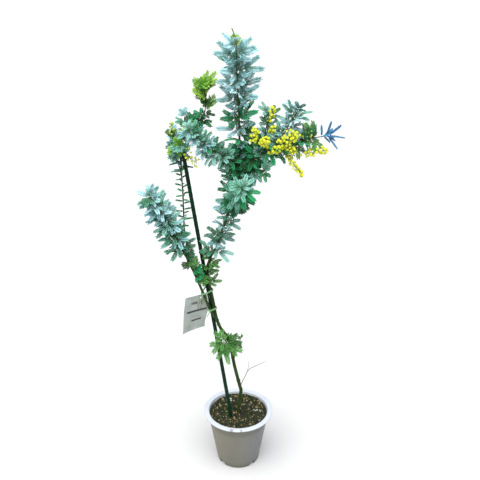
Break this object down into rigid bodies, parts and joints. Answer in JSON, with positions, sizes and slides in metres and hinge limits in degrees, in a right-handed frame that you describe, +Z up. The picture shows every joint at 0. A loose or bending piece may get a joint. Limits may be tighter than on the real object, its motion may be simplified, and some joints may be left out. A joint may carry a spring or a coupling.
{
  "type": "potted mimosa sapling on a cane",
  "caption": "Young silver-leaved mimosa with yellow flower racemes, in a round plastic nursery pot, tied to a slim coated cane and carrying a hanging label.",
  "frame": {"origin": "middle of the pot's underside, on the ground it stands on", "axes": "+Z up along the pot's axis; -Y is the side seen in the picture, so that the label hangs to -X and the main flower branch reaches to +X"},
  "size_m": [0.3828, 0.169, 0.9956],
  "materials": {
    "white_plastic": "satin",
    "potting_mix": "loose, damp",
    "green_coating": "smooth plastic coating",
    "label_plastic": "satin",
    "tie_plastic": "satin",
    "young_bark": "green bark",
    "dead_wood": "dry, matt",
    "silver_leaf": "waxy, matt",
    "green_leaf": "matt",
    "young_leaf": "soft, matt",
    "flower_yellow": "fluffy"
  },
  "bodies": {
    "root": {"pot": "white_plastic", "potting_mix": "potting_mix", "cane": "green_coating", "cane_cap": "green_coating", "cane_point": "green_coating", "label": "label_plastic", "label_wire": "tie_plastic", "upper_tie": "tie_plastic", "lower_tie": "tie_plastic", "trunk": "young_bark", "dead_twig": "dead_wood", "upper_stem": "silver_leaf", "leader_middle": "silver_leaf", "leader_tip": "silver_leaf", "left_shoot": "silver_leaf", "left_tip": "silver_leaf", "crown_left_shoot": "silver_leaf", "crown_rear_shoot": "silver_leaf", "cross_branch": "silver_leaf", "cross_tip": "silver_leaf", "front_shoot": "silver_leaf", "flower_branch_tip": "silver_leaf", "silver_side_shoot": "silver_leaf", "leader_base": "green_leaf", "left_branch": "green_leaf", "rear_branch": "green_leaf", "lime_stem": "green_leaf", "flower_branch": "green_leaf", "hanging_shoot": "green_leaf", "rear_shoot": "green_leaf", "low_shoot_rear": "green_leaf", "crown_front_shoot": "young_leaf", "lime_tip": "young_leaf", "flower_branch_outer": "young_leaf", "pale_side_shoot": "young_leaf", "low_shoot_front": "young_leaf", "raceme_left_low": "flower_yellow", "raceme_left_high": "flower_yellow", "raceme_crown": "flower_yellow", "raceme_crown_low": "flower_yellow", "raceme_middle": "flower_yellow", "raceme_middle_low": "flower_yellow", "raceme_under": "flower_yellow", "raceme_hanging": "flower_yellow", "raceme_outer": "flower_yellow", "raceme_outer_high": "flower_yellow", "raceme_crown_left": "flower_yellow", "raceme_crown_front": "flower_yellow"}
  },
  "joints": []
}
